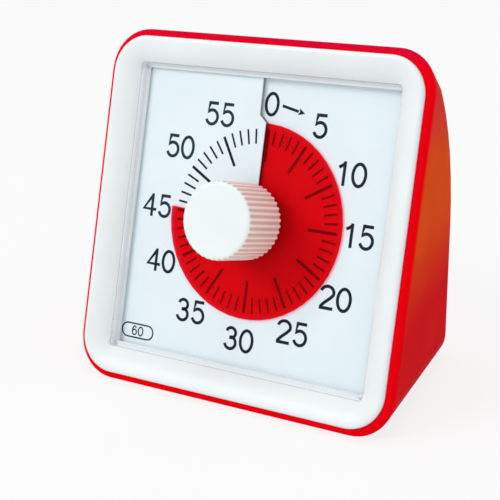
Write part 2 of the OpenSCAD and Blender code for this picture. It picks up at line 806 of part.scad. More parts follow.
module centre_wheel() {
    color("white") on_dial() difference() {
        wheel(centre_teeth, slow_module, layer_1_h);
        rod(layer_1_h - 1, layer_1_h + 1, arbor_r + run_gap);
        for (a = [0:72:288]) rotate(a + 36) translate([5.4, 0, layer_1_h - 1]) cylinder(h = 2, r = 1.6);
    }
}

// an arbor that runs between the base and the cover
module geared_arbor(r) {
    rod(cover_back_h + 0.2, cover_front_h + 0.1, 0.4);
    rod(cover_front_h + 0.1, front_plate_back_h - 0.1, r);
    rod(front_plate_back_h - 0.1, front_plate_back_h + 0.7, 0.4);
}

module third_wheel() {
    color("ivory") on_dial() translate(THIRD_AT) {
        rotate(third_phase) {
            pinion(third_pinion_teeth, slow_module, layer_1_h);
            difference() {
                wheel(third_teeth, slow_module, layer_2_h);
                for (a = [0:72:288]) rotate(a) translate([5.4, 0, layer_2_h - 1]) cylinder(h = 2, r = 1.8);
            }
        }
        geared_arbor(0.9);
    }
}

module fourth_wheel() {
    color("ivory") on_dial() translate(FOURTH_AT) {
        rotate(fourth_phase) {
            pinion(fourth_pinion_teeth, slow_module, layer_2_h);
            difference() {
                wheel(fourth_teeth, fast_module, layer_3_h);
                for (a = [0:72:288]) rotate(a) translate([4.9, 0, layer_3_h - 1]) cylinder(h = 2, r = 1.6);
            }
        }
        geared_arbor(0.8);
    }
}

module rotor_pinion() {
    color("ivory") on_dial() translate(ROTOR_AT) {
        rotate(rotor_phase) pinion(rotor_pinion_teeth, fast_module, layer_3_h);
        geared_arbor(0.6);
    }
}

module rotor_magnet() {
    mid_h = stator_back_h + stator_t / 2;
    color("dimgray") on_dial() translate(ROTOR_AT) difference() {
        rod(mid_h - 1, mid_h + 1, rotor_r);
        rod(mid_h - 2, mid_h + 2, 0.6 + seat_gap);
    }
}

// two pole pieces round the rotor, joined through the coil by the core
module stator() {
    pole_low = ROTOR_AT[1] - 6.8;
    pole_high = ROTOR_AT[1] + 5.2;
    pole_left = ROTOR_AT[0] - 5.2;
    leg_low = coil_v - 2;
    color("silver") on_dial() {
        translate([0, 0, stator_back_h]) linear_extrude(stator_t) difference() {
            union() {
                translate([pole_left, pole_low]) square([stator_right - pole_left, pole_high - pole_low]);
                translate([stator_left, pole_low - 3]) square([pole_left + 0.5 - stator_left, 3.6]);
                translate([stator_left, leg_low]) square([leg_w, pole_low - leg_low + 0.5]);
                translate([stator_right - leg_w, leg_low]) square([leg_w, pole_low - leg_low + 0.5]);
                translate([pole_left, pole_low - 3]) square([2, 3.5]);
            }
            translate(ROTOR_AT) circle(rotor_r + 0.4);
            translate([ROTOR_AT[0] - 0.25, coil_v]) square([0.5, half]);
        }
        translate([stator_left, coil_v - core_w / 2, core_back_h])
            cube([stator_right - stator_left, core_w, core_h]);
    }
}

// a tube along the coil's core, with a hole that is one seat_gap larger than its inner size
module coil_tube(low, high, outer, r, inner) {
    translate([low, coil_v, coil_mid_h]) rotate([90, 0, 90]) linear_extrude(high - low) difference() {
        round_rect(outer[0], outer[1], r);
        square(inner + 2 * [seat_gap, seat_gap], center = true);
    }
}

module coil_bobbin() {
    flange = 2 * [coil_flange_half, coil_flange_half];
    core = [core_w, core_h];
    color("white") on_dial() {
        coil_tube(coil_low, coil_low + coil_flange_t, flange, 0.8, core);
        coil_tube(coil_high - coil_flange_t, coil_high, flange, 0.8, core);
        coil_tube(coil_low, coil_high, [coil_tube_w, coil_tube_h], 0.2, core);
    }
}

module coil_winding() {
    color("chocolate") on_dial() coil_tube(coil_low + coil_flange_t, coil_high - coil_flange_t,
        [coil_wire_w, coil_wire_w], 1.4, [coil_tube_w, coil_tube_h]);
}

module housing_outline(grow) {
    size = HOUSING_HIGH - HOUSING_LOW + 2 * [grow, grow];
    translate((HOUSING_LOW + HOUSING_HIGH) / 2) round_rect(size[0], size[1], 1.2 + grow);
}

module movement_base() {
    color("lightgray") on_dial() difference() {
        union() {
            translate([0, 0, cover_front_h]) linear_extrude(plate_back_h - cover_front_h)
                housing_outline(movement_wall);
            rod(front_plate_back_h, bush_top_h, bush_r);
        }
        translate([0, 0, cover_front_h - 1]) linear_extrude(movement_depth + 1) housing_outline(0);
        rod(front_plate_back_h - 1, half, arbor_r + run_gap);
        for (at = [THIRD_AT, FOURTH_AT, ROTOR_AT]) translate(at)
            rod(front_plate_back_h - 1, front_plate_back_h + 0.8, 0.4 + run_gap);
    }
}

module movement_cover() {
    color("lightgray") on_dial() difference() {
        translate([0, 0, cover_back_h]) linear_extrude(movement_wall) housing_outline(movement_wall);
        rod(cover_back_h - 1, cover_front_h + 1, arbor_pivot_r + run_gap);
        for (at = [THIRD_AT, FOURTH_AT, ROTOR_AT]) translate(at)
            rod(cover_back_h - 1, cover_front_h + 1, 0.4 + run_gap);
    }
}

// ---------- electronics ----------

module circuit_board() {
    color("darkgreen") in_case() difference() {
        wall_plate(board_front_y, board_back_y) translate([board_mid_x, board_mid_h])
            square([board_l, board_h], center = true);
        for (boss = BOARD_BOSSES)
            wall_plate(board_front_y - 1, board_back_y + 1) translate(boss) circle(board_screw_r + 0.15);
    }
}

module clock_chip() {
    color("black") in_case() wall_plate(board_back_y, board_back_y + 1.2)
        translate([board_mid_x, board_mid_h - 4.2]) circle(2.6);
}

module quartz_crystal() {
    color("silver") in_case() translate([board_mid_x - 3, board_back_y + 1, board_mid_h + 5])
        rotate([0, 90, 0]) cylinder(h = 6, r = 1);
}

module buzzer() {
    color("black") in_case() difference() {
        wall_plate(board_back_y, board_back_y + buzzer_t) translate([buzzer_x, board_mid_h]) circle(buzzer_r);
        wall_plate(board_back_y + 1, board_back_y + buzzer_t + 1)
            translate([buzzer_x, board_mid_h]) circle(1);
    }
}

module switch_housing() {
    reach = nub_half_w + switch_travel;
    color("silver") in_case() difference() {
        wall_plate(board_back_y, board_back_y + switch_body_t) translate([switch_x, board_mid_h])
            square([2 * (reach + 0.4 + switch_wall), 2 * (nub_half_h + 0.2 + switch_wall)], center = true);
        wall_plate(board_back_y + 1, board_back_y + switch_body_t + 1) translate([switch_x, board_mid_h])
            square([2 * (reach + 0.4), 2 * (nub_half_h + 0.2)], center = true);
    }
}

module switch_slider() {
    grip_y = case_depth - 0.3;
    color("black") in_case() translate([switch_x, 0, board_mid_h]) difference() {
        wall_plate(board_back_y + 1.2, grip_y) square([2 * nub_half_w, 2 * nub_half_h], center = true);
        for (x = [-1, 0, 1]) translate([x, grip_y, 0]) cylinder(h = 4 * nub_half_h, r = 0.25, center = true, $fn = 16);
    }
}

// ---------- battery ----------

module aa_cell() {
    color("steelblue") in_case() translate([0, cell_y, bay_mid_z]) rotate([0, 90, 0]) {
        rod(cell_left, cell_right - nub_l, cell_r);
        rod(cell_right - nub_l, cell_right, nub_r);
    }
}

// x is where the contact's plate starts
module contact_plate(x) {
    translate([x, cell_y - contact_w / 2, bay_mid_z - contact_w / 2]) cube([contact_t, contact_w, contact_w]);
}

module positive_contact() {
    color("silver") in_case() {
        contact_plate(bay_half_w - contact_t);
        translate([cell_right, cell_y - contact_pip_w / 2, bay_mid_z - contact_pip_w / 2])
            cube([bay_half_w - contact_t - cell_right, contact_pip_w, contact_pip_w]);
    }
}

module negative_spring() {
    rise = cell_left + bay_half_w - contact_t - 0.05;
    color("silver") in_case() {
        contact_plate(-bay_half_w);
        translate([-bay_half_w + contact_t - spring_wire_r, cell_y, bay_mid_z]) rotate([0, 90, 0])
            conical_spring(rise + spring_wire_r, 3, spring_low_r, spring_high_r, spring_wire_r);
    }
}

// a coil that rises along z while its radius shrinks from r_low to r_high
module conical_spring(rise, turns, r_low, r_high, wire_r) {
    sides = 6;
    rings = turns * 12;
    points = [for (i = [0:rings], k = [0:sides - 1]) let (
            t = i / rings,
            r = r_low + (r_high - r_low) * t,
            side = k * 360 / sides,
            out = r + wire_r * cos(side),
            turn = i * 30
        ) [out * cos(turn), out * sin(turn), wire_r + (rise - 2 * wire_r) * t + wire_r * sin(side)]];
    skin = [for (i = [0:rings - 1], k = [0:sides - 1]) let (n = (k + 1) % sides)
        each [[i * sides + k, (i + 1) * sides + n, (i + 1) * sides + k],
              [i * sides + k, i * sides + n, (i + 1) * sides + n]]];
    caps = [[for (k = [0:sides - 1]) sides - 1 - k], [for (k = [0:sides - 1]) rings * sides + k]];
    polyhedron(points, concat(skin, caps));
}

module battery_door() {
    color("crimson") {
        difference() {
            intersection() {
                case_form(0, 32);
                in_case() wall_plate(inner_back_y, case_depth + 1) difference() {
                    union() {
                        door_outline(0);
                        translate([-door_half_w, door_low_z]) square([2 * door_half_w, 2 * hinge_r]);
                    }
                    translate([-half, hinge_z - half]) square([2 * half, half]);
                }
            }
            in_case() wall_plate(case_depth - grip_depth, case_depth + 1)
                translate([0, door_high_z]) circle(grip_r);
        }
        in_case() hinge_rod(door_half_w, hinge_r);
        in_case() hinge_rod(door_half_w + hinge_pin_l, hinge_pin_r);
    }
}

// ---------- fasteners ----------

module case_screws() {
    color("silver") for (side = [-1, 1]) on_face() translate([side * case_screw_x, case_screw_up, 0])
        difference() {
            union() {
                rod(well_seat_h - head_h, well_seat_h, head_r);
                rod(well_seat_h, screw_tip_h, case_screw_r - seat_gap);
            }
            for (turn = [0, 90]) rotate(turn) translate([-1.2, -0.25, well_seat_h - head_h - 0.2])
                cube([2.4, 0.5, 0.9]);
        }
}

module board_screws() {
    color("silver") in_case() for (boss = BOARD_BOSSES) {
        wall_plate(board_front_y - 0.9, board_front_y) translate(boss) circle(1.5);
        wall_plate(board_front_y, inner_back_y - 0.9) translate(boss) circle(board_screw_r - seat_gap);
    }
}

rear_case();
bezel();
lens();
dial_card();
dial_plate();
red_film();
film_hub();
knob();
knob_arbor();
clutch_spring();
centre_wheel();
third_wheel();
fourth_wheel();
rotor_pinion();
rotor_magnet();
stator();
coil_bobbin();
coil_winding();
movement_base();
movement_cover();
circuit_board();
clock_chip();
quartz_crystal();
buzzer();
switch_housing();
switch_slider();
aa_cell();
positive_contact();
negative_spring();
battery_door();
case_screws();
board_screws();
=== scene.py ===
import json
import math

import bmesh
import bpy
from mathutils import Matrix, Vector


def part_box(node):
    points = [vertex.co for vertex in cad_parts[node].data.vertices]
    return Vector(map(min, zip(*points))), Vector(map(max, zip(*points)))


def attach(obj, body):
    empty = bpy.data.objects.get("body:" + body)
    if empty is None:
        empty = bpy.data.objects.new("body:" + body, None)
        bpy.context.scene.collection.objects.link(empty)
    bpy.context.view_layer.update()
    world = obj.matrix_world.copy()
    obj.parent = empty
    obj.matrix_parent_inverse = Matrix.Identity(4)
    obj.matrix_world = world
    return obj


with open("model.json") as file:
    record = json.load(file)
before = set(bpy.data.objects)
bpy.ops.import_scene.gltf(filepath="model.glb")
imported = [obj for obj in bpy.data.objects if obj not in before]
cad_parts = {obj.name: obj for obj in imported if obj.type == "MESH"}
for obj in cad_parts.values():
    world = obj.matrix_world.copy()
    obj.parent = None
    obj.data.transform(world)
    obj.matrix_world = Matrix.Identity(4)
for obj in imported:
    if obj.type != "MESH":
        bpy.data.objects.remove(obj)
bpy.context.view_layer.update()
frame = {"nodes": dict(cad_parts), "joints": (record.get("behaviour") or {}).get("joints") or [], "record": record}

MM = 0.001
nodes = frame["nodes"]

# ---------- the dial's frame, from the knob's hinge ----------

knob_joint = next(j for j in frame["joints"] if j["name"] == "knob_turn")
DIAL = Vector(knob_joint["pos_m"])
OUT = Vector(knob_joint["axis"]).normalized()
RIGHT = Vector((1, 0, 0))
UP = OUT.cross(RIGHT)
WORLD_UP = Vector((0, 0, 1))
GROUND = Vector((0, 0, 0))

# in mm
PITCH = 1.1         # rise of the card and of the film in one turn
CARD_TOP = 0.125    # half the card's thickness
PRINT_LIFT = 0.035  # height of the printing above the card's face
SLIT_STEP_R = 21.1  # beyond this radius the card's slit steps to the left, round the number 0
ZERO_REACH = 1.6    # how far the number 0 may stand left of the zero line

ZERO_TURN = 340     # degrees; points of the number 0 that lie left of that line come after this


def at_dial(u, v, w):
    """A point u mm right, v mm up the slope and w mm out from the dial's middle."""
    return DIAL + (RIGHT * u + UP * v + OUT * w) * MM


def card_height(u, v):
    """Height of the card's upper face: one turn of a helix, clockwise from the slit."""
    turn = math.degrees(math.atan2(u, v)) % 360
    if turn > ZERO_TURN and math.hypot(u, v) > SLIT_STEP_R and u > -ZERO_REACH:
        turn = 0
    return PITCH * (turn / 360 - 0.5) + CARD_TOP


# ---------- nodes ----------

NOISE_LOW, NOISE_HIGH = 0.3, 0.7  # nearly all of a noise lies between these


def feed(tree, value, socket):
    """Links another node's socket to this one, or sets a plain value on it."""
    if isinstance(value, bpy.types.NodeSocket):
        tree.links.new(value, socket)
    else:
        socket.default_value = value


def node(tree, kind, *values, **settings):
    """A new node. Values go to its inputs in order, settings to its own or to inputs by name."""
    n = tree.nodes.new(kind)
    for key, value in settings.items():
        if hasattr(n, key):
            setattr(n, key, value)
        else:
            feed(tree, value, n.inputs[key.replace("_", " ")])
    for value, socket in zip(values, n.inputs):
        feed(tree, value, socket)
    return n


def math_node(tree, operation, *values):
    return node(tree, "ShaderNodeMath", *values, operation=operation).outputs[0]


def vector_node(tree, operation, result, *values):
    return node(tree, "ShaderNodeVectorMath", *values, operation=operation).outputs[result]


def mixed_shader(tree, share, first, second):
    """Two shaders, with the second one's share."""
    return node(tree, "ShaderNodeMixShader", share, first, second).outputs["Shader"]


def coordinate(tree, name):
    return node(tree, "ShaderNodeTexCoord").outputs[name]


def object_noise(tree, scale, detail, stretch=None):
    vector = coordinate(tree, "Object")
    if stretch:
        vector = node(tree, "ShaderNodeMapping", Vector=vector, Scale=stretch).outputs["Vector"]
    noise = node(tree, "ShaderNodeTexNoise", Vector=vector, Scale=scale, Detail=detail)
    return noise.outputs["Fac"]


def ranged(tree, noise, low, high):
    """A noise spread over a range."""
    return node(tree, "ShaderNodeMapRange", Value=noise, From_Min=NOISE_LOW, From_Max=NOISE_HIGH,
                To_Min=low, To_Max=high).outputs["Result"]


def graded(tree, value, low, high):
    """0 to 1, with soft ends, as a value goes from low to high."""
    return node(tree, "ShaderNodeMapRange", interpolation_type="SMOOTHSTEP", Value=value,
                From_Min=low, From_Max=high).outputs["Result"]


def along(tree, axis, origin, low, high):
    """0 to 1 along an axis of the object, between two distances from an origin, in metres."""
    start = origin.dot(axis)
    place = vector_node(tree, "DOT_PRODUCT", "Value", coordinate(tree, "Object"), axis)
    return graded(tree, place, start + low, start + high)


def turned_to(tree, axis, low, high):
    """0 to 1 as a surface of the object turns to face along an axis."""
    facing = vector_node(tree, "DOT_PRODUCT", "Value", coordinate(tree, "Normal"), axis)
    return graded(tree, facing, low, high)


def colour_mix(tree, factor):
    """A mix of two colours: its two colour inputs and its result."""
    mix = node(tree, "ShaderNodeMix", data_type="RGBA", Factor=factor)
    low, high = (s for s in mix.inputs if s.type == "RGBA")
    return low, high, next(s for s in mix.outputs if s.type == "RGBA")


def toned(tree, factor, low, high):
    """A colour between two tones."""
    low_input, high_input, result = colour_mix(tree, factor)
    low_input.default_value = (*low, 1)
    high_input.default_value = (*high, 1)
    return result


def blended(tree, factor, low, high):
    """A colour between two colour sockets."""
    low_input, high_input, result = colour_mix(tree, factor)
    tree.links.new(low, low_input)
    tree.links.new(high, high_input)
    return result


GRAIN_DEPTH = 0.2 * MM        # of moulded, printed and metal surfaces
SHEET_GRAIN_DEPTH = 0.1 * MM  # of the lens and the film


def relief(tree, noise, strength, depth):
    """A normal with a fine grain."""
    return node(tree, "ShaderNodeBump", Height=noise, Strength=strength,
                Distance=depth).outputs["Normal"]


# ---------- materials ----------

def new_material(name):
    m = bpy.data.materials.new(name)
    m.use_nodes = True
    m.node_tree.nodes.clear()
    return m, m.node_tree


def shown(tree, shader):
    """Makes a shader the material's surface."""
    node(tree, "ShaderNodeOutputMaterial", Surface=shader)


def srgb(*levels):
    """Linear values of an sRGB colour written 0 to 255."""
    shares = [level / 255 for level in levels]
    return tuple(c / 12.92 if c <= 0.04 else ((c + 0.055) / 1.055) ** 2.4 for c in shares)


def surface(name, low, high, rough, grain, bump=0.02, metallic=0.0, tone_scale=60, coat=0.0,
            specular=0.5, stretch=None):
    """A moulded, printed or metal surface: two tones, uneven roughness and a fine grain."""
    m, tree = new_material(name)
    broad = object_noise(tree, tone_scale, 2.0, stretch)
    fine = object_noise(tree, grain, 4.0, stretch)
    shader = node(tree, "ShaderNodeBsdfPrincipled",
                  Base_Color=toned(tree, ranged(tree, broad, 0, 1), low, high),
                  Roughness=ranged(tree, fine, *rough),
                  Normal=relief(tree, fine, bump, GRAIN_DEPTH),
                  Metallic=metallic, Specular_IOR_Level=specular, Coat_Weight=coat)
    shown(tree, shader.outputs["BSDF"])
    return m


def shader_of(material):
    """The Principled shader of a material that surface() made."""
    return next(n for n in material.node_tree.nodes if n.type == "BSDF_PRINCIPLED")


CASE_IOR = 1.15  # low, so that the red keeps its depth at a glance
RIM_RED = (srgb(240, 0, 14), srgb(246, 2, 20))
# painted reflection: a magenta tint on the rim where it faces up
TOP_RIM_PAINTED_REFLECTION = (srgb(213, 5, 47), srgb(219, 8, 53))
# painted shade: the red behind the rim, darker than the rim's own red
PAINTED_SHADE_RED = (srgb(213, 15, 24), srgb(221, 23, 29))
# painted glow: warm orange and magenta reds that stand in for reflected light on the case's right side
HIGH_FLANK_PAINTED_GLOW = (srgb(219, 72, 17), srgb(226, 82, 24))
TOP_FLANK_PAINTED_GLOW = (srgb(219, 54, 46), srgb(225, 62, 52))

# where one red goes over into the next: heights of the painted glow, and depths behind the dial's middle where the
# rim's red gives way to the painted shade
LOW_TO_HIGH_GLOW = (18 * MM, 41 * MM)
HIGH_TO_TOP_GLOW = (50 * MM, 62 * MM)
RIM_TO_PAINTED_SHADE = (-4.2 * MM, -2.8 * MM)
# and how squarely a surface has to face right to take the painted glow, or up to take the painted reflection, as
# the cosine of its angle
GLOW_FACING_RIGHT = (0.45, 0.9)
REFLECTION_FACING_UP = (0.5, 0.9)


def red_case():
    """Red plastic: pure red along the rim; behind it a darker red that is painted shade, a painted warm glow where
    the case faces right, and a painted reflection along the rim's top.
    """
    m = surface("case_red", *RIM_RED, rough=(0.36, 0.44), grain=6000, bump=0.015, specular=0.01)
    tree = m.node_tree
    shader = shader_of(m)
    shader.inputs["IOR"].default_value = CASE_IOR
    base = shader.inputs["Base Color"]
    drift = ranged(tree, object_noise(tree, 70, 3.0), 0, 1)
    painted_shade_red = toned(tree, drift, *PAINTED_SHADE_RED)
    high_flank_glow = toned(tree, drift, *HIGH_FLANK_PAINTED_GLOW)
    top_flank_glow = toned(tree, drift, *TOP_FLANK_PAINTED_GLOW)
    # painted glow: from the painted shade red low down, to orange, then to magenta near the top
    flank_glow = blended(tree, along(tree, WORLD_UP, GROUND, *LOW_TO_HIGH_GLOW), painted_shade_red, high_flank_glow)
    flank_glow = blended(tree, along(tree, WORLD_UP, GROUND, *HIGH_TO_TOP_GLOW), flank_glow, top_flank_glow)
    # the painted glow only where a surface faces right; elsewhere the painted shade red
    shade_and_glow = blended(tree, turned_to(tree, RIGHT, *GLOW_FACING_RIGHT), painted_shade_red, flank_glow)
    # painted reflection on the rim where it faces up
    rim = blended(tree, turned_to(tree, WORLD_UP, *REFLECTION_FACING_UP), base.links[0].from_socket,
                  toned(tree, drift, *TOP_RIM_PAINTED_REFLECTION))
    # behind the rim, the painted shade red and the painted glow take over from the rim's red
    behind = along(tree, -OUT, DIAL, *RIM_TO_PAINTED_SHADE)
    tree.links.new(blended(tree, behind, rim, shade_and_glow), base)
    return m


LENS_TINT = (0.995, 0.998, 1.0)
LENS_GLANCE = 0.025  # how strongly the lens turns glossy at a glance
EDGE_FACING = 0.5    # a lens face that turns further from the dial's axis is an edge face
EDGE_TONES = ((0.02, 0.02, 0.02), (0.95, 0.97, 0.98))  # under the gloss, in the edge's mirror
EDGE_PAINTED_GLOW = 0.12     # painted glow: emission on the edge faces, for light that travels inside the sheet and leaves there
EDGE_PAINTED_GLOW_TINT = (1.0, 0.88, 1.0)
EDGE_MIRROR = 0.9    # share of what meets the lens's edge faces that they throw back


def clear_lens():
    """Clear acrylic: straight through head on, glossy at a glance, mirror-like at its edges, with a painted glow
    on its edge faces.
    """
    m, tree = new_material("lens_clear")
    fine = object_noise(tree, 400, 2.0)
    facing = vector_node(tree, "DOT_PRODUCT", "Value", coordinate(tree, "Normal"), OUT)
    edge = math_node(tree, "LESS_THAN", math_node(tree, "ABSOLUTE", facing), EDGE_FACING)
    clear = node(tree, "ShaderNodeBsdfTransparent", Color=(*LENS_TINT, 1))
    gloss = node(tree, "ShaderNodeBsdfPrincipled",
                 Base_Color=toned(tree, edge, *EDGE_TONES),
                 Metallic=edge,
                 Roughness=ranged(tree, fine, 0.02, 0.05),
                 Normal=relief(tree, fine, 0.01, SHEET_GRAIN_DEPTH),
                 # painted glow: the edge faces give off light of their own
                 Emission_Color=(*EDGE_PAINTED_GLOW_TINT, 1),
                 Emission_Strength=math_node(tree, "MULTIPLY", edge, EDGE_PAINTED_GLOW))
    glance = node(tree, "ShaderNodeLayerWeight", Blend=LENS_GLANCE).outputs["Facing"]
    share = math_node(tree, "MAXIMUM", glance, math_node(tree, "MULTIPLY", edge, EDGE_MIRROR))
    shown(tree, mixed_shader(tree, share, clear.outputs["BSDF"], gloss.outputs["BSDF"]))
    return m


FILM_TINT = (1.0, 0.16, 0.31)    # of each of the film's two faces
FILM_BODY = 0.17                 # share of each face that is pigment
FILM_PIGMENT = (srgb(252, 34, 32), srgb(255, 38, 36))
FILM_PASSED = (1.0, 0.02, 0.02)  # colour of the light that the pigment lets through
FILM_PASSED_SHARE = 0.5          # of the pigment's look


def red_film():
    """Translucent red film: the card's printing shows through it as dark red."""
    m, tree = new_material("film_red")
    broad = object_noise(tree, 45, 2.0)
    fine = object_noise(tree, 1200, 2.0)
    body = node(tree, "ShaderNodeBsdfPrincipled",
                Base_Color=toned(tree, ranged(tree, broad, 0, 1), *FILM_PIGMENT),
                Roughness=ranged(tree, fine, 0.3, 0.4),
                Normal=relief(tree, fine, 0.03, SHEET_GRAIN_DEPTH),
                Specular_IOR_Level=0.2)
    passed = node(tree, "ShaderNodeBsdfTranslucent", Color=(*FILM_PASSED, 1))
    pigment = mixed_shader(tree, FILM_PASSED_SHARE, body.outputs["BSDF"], passed.outputs["BSDF"])
    clear = node(tree, "ShaderNodeBsdfTransparent", Color=(*FILM_TINT, 1))
    shown(tree, mixed_shader(tree, FILM_BODY, clear.outputs["BSDF"], pigment))
    return m


CELL_METAL = (0.6, 0.6, 0.62)
CELL_SLEEVE = (srgb(38, 58, 92), srgb(44, 66, 102))
CELL_BAND = srgb(205, 208, 212)
# each colour, from this share of the cell's length on
CELL_STOPS = [(0.0, CELL_METAL), (0.015, CELL_SLEEVE[0]), (0.72, CELL_BAND), (0.965, CELL_METAL)]


def cell_wrap(low_end, high_end):
    """A plain wrapped cell: dark sleeve, a lighter band at one end, bare metal at both."""
    m = surface("cell_wrap", *CELL_SLEEVE, rough=(0.25, 0.35), grain=700, bump=0.03, coat=0.3)
    tree = m.node_tree
    place = vector_node(tree, "DOT_PRODUCT", "Value", coordinate(tree, "Object"), RIGHT)
    share = node(tree, "ShaderNodeMapRange", Value=place, From_Min=low_end, From_Max=high_end)
    ramp = node(tree, "ShaderNodeValToRGB", Fac=share.outputs["Result"])
    ramp.color_ramp.interpolation = "CONSTANT"
    elements = ramp.color_ramp.elements
    for k, (position, colour) in enumerate(CELL_STOPS):
        element = elements[k] if k < len(elements) else elements.new(position)
        element.position = position
        element.color = (*colour, 1)
    tree.links.new(ramp.outputs["Color"], shader_of(m).inputs["Base Color"])
    return m


KNOB_FACE_WHITE = (srgb(234, 242, 243), srgb(238, 246, 246))
KNOB_SIDE_PAINTED_BOUNCE = (srgb(229, 188, 179), srgb(250, 238, 232))  # painted pink bounce light from the red film and painted shade: deeper in the grooves, lighter on the ribs
GROOVE_SHADE_TO_RIB = (7.87 * MM, 8.12 * MM)  # radii
PAINTED_SIDE_TO_FACE = (14.9 * MM, 15.3 * MM)   # heights over the dial's middle


def ribbed_knob():
    """White plastic: cool on the front face; on the ribbed side, painted pink bounce light from the red film, with
    painted shade down in the grooves between the ribs.
    """
    m = surface("knob_white", *KNOB_FACE_WHITE, rough=(0.42, 0.52), grain=4000, bump=0.03,
                specular=0.3)
    tree = m.node_tree
    base = shader_of(m).inputs["Base Color"]
    offset = vector_node(tree, "SUBTRACT", "Vector", coordinate(tree, "Object"), DIAL)
    across = vector_node(tree, "CROSS_PRODUCT", "Vector", offset, OUT)
    radius = vector_node(tree, "LENGTH", "Value", across)
    # painted shade in the grooves, giving way towards the ribs
    groove_shade_share = node(tree, "ShaderNodeMapRange", Value=radius, From_Min=GROOVE_SHADE_TO_RIB[0],
                 From_Max=GROOVE_SHADE_TO_RIB[1]).outputs["Result"]
    # painted pink bounce light on the ribbed side, with painted shade in the grooves
    side = toned(tree, groove_shade_share, *KNOB_SIDE_PAINTED_BOUNCE)
    face = base.links[0].from_socket
    tree.links.new(blended(tree, along(tree, OUT, DIAL, *PAINTED_SIDE_TO_FACE), side, face), base)
    return m


cell_low, cell_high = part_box("aa_cell")
MATERIALS = {
    "case_red": red_case(),
    "bezel_white": surface("bezel_white", srgb(234, 240, 242), srgb(238, 244, 245),
                           rough=(0.32, 0.4), grain=1400, bump=0.04, specular=0.35),
    "knob_white": ribbed_knob(),
    "lens_clear": clear_lens(),
    "card_white": surface("card_white", srgb(236, 248, 254), srgb(239, 251, 255),
                          rough=(0.5, 0.6), grain=2200, bump=0.03, tone_scale=90),
    "inner_white": surface("inner_white", srgb(222, 224, 230), srgb(230, 231, 236),
                           rough=(0.4, 0.5), grain=1200),
    "film_red": red_film(),
    "arbor_brass": surface("arbor_brass", srgb(196, 160, 92), srgb(210, 176, 110),
                           rough=(0.2, 0.32), grain=900, metallic=1.0, stretch=(1, 1, 12)),
    "spring_steel": surface("spring_steel", srgb(186, 187, 190), srgb(200, 201, 204),
                            rough=(0.2, 0.32), grain=900, metallic=1.0),
    "gear_white": surface("gear_white", srgb(236, 233, 222), srgb(241, 238, 228),
                          rough=(0.35, 0.45), grain=1500),
    "magnet_grey": surface("magnet_grey", srgb(70, 70, 74), srgb(88, 88, 92),
                           rough=(0.45, 0.6), grain=1800, metallic=0.8, bump=0.1),
    "stator_steel": surface("stator_steel", srgb(160, 162, 166), srgb(180, 182, 186),
                            rough=(0.3, 0.42), grain=1200, metallic=1.0, stretch=(8, 1, 1)),
    "coil_copper": surface("coil_copper", srgb(150, 72, 36), srgb(196, 104, 58),
                           rough=(0.25, 0.4), grain=2500, metallic=0.7, bump=0.35,
                           stretch=(14, 1, 1), tone_scale=2500),
    "movement_grey": surface("movement_grey", srgb(196, 198, 201), srgb(205, 207, 209),
                             rough=(0.45, 0.55), grain=1300),
    "board_green": surface("board_green", srgb(16, 92, 44), srgb(24, 108, 54),
                           rough=(0.28, 0.4), grain=1700, tone_scale=500, coat=0.2),
    "chip_black": surface("chip_black", srgb(20, 20, 21), srgb(30, 30, 31),
                          rough=(0.3, 0.5), grain=900, bump=0.2),
    "can_steel": surface("can_steel", srgb(188, 189, 192), srgb(204, 205, 208),
                         rough=(0.18, 0.3), grain=800, metallic=1.0),
    "part_black": surface("part_black", srgb(24, 24, 25), srgb(33, 33, 34),
                          rough=(0.4, 0.52), grain=1400, bump=0.1),
    "cell_wrap": cell_wrap(cell_low[0], cell_high[0]),
    "screw_steel": surface("screw_steel", srgb(170, 171, 174), srgb(192, 193, 196),
                           rough=(0.25, 0.4), grain=1500, metallic=1.0, bump=0.1),
}
INK = surface("print_ink", srgb(12, 22, 42), srgb(18, 28, 48),
              rough=(0.5, 0.6), grain=2500, specular=0.2)
INK_COOL = surface("print_ink_cool", srgb(14, 44, 62), srgb(20, 50, 68),
                   rough=(0.5, 0.6), grain=2500, specular=0.2)

SLOTS = {s["node"]: s["material_slot"] for s in frame["record"]["subparts"]}
for name, obj in nodes.items():
    obj.data.materials.clear()
    obj.data.materials.append(MATERIALS[SLOTS[name]])


# ---------- smooth shading of the CAD nodes ----------

FLAT_AREA = 25 * MM * MM       # a facet of this size or more is a flat wall
EDGE_ANGLE = math.radians(28)  # a sharper turn between two facets is a real edge
WELD_DISTANCE = 1e-6           # metres
# parts of the unit normal of a strip of the crown
CROWN_ACROSS_MAX, CROWN_BACK_MIN, CROWN_UP_MIN = 0.4, 0.2, 0.03


def on_crown(polygon):
    """A strip of the case's curve from its back wall to its top."""
    across, back, up = polygon.normal
    return abs(across) < CROWN_ACROSS_MAX and back > CROWN_BACK_MIN and up > CROWN_UP_MIN


def smooth(obj):
    """Rounds the shading of tessellated curves and keeps real edges crisp."""
    mesh = obj.data
    if mesh.has_custom_normals:
        attribute = mesh.attributes.get("custom_normal")
        if attribute:
            mesh.attributes.remove(attribute)
    rounded = [p.area < FLAT_AREA or on_crown(p) for p in mesh.polygons]
    mesh.polygons.foreach_set("use_smooth", rounded)
    weld = obj.modifiers.new("weld", "WELD")
    weld.merge_threshold = WELD_DISTANCE
    split = obj.modifiers.new("edges", "EDGE_SPLIT")
    split.split_angle = EDGE_ANGLE
    split.use_edge_sharp = False
    weighted = obj.modifiers.new("weighted", "WEIGHTED_NORMAL")
    weighted.keep_sharp = True


for obj in nodes.values():
    smooth(obj)


# ---------- printing on the dial card: points are (right, up) from its middle, in mm ----------

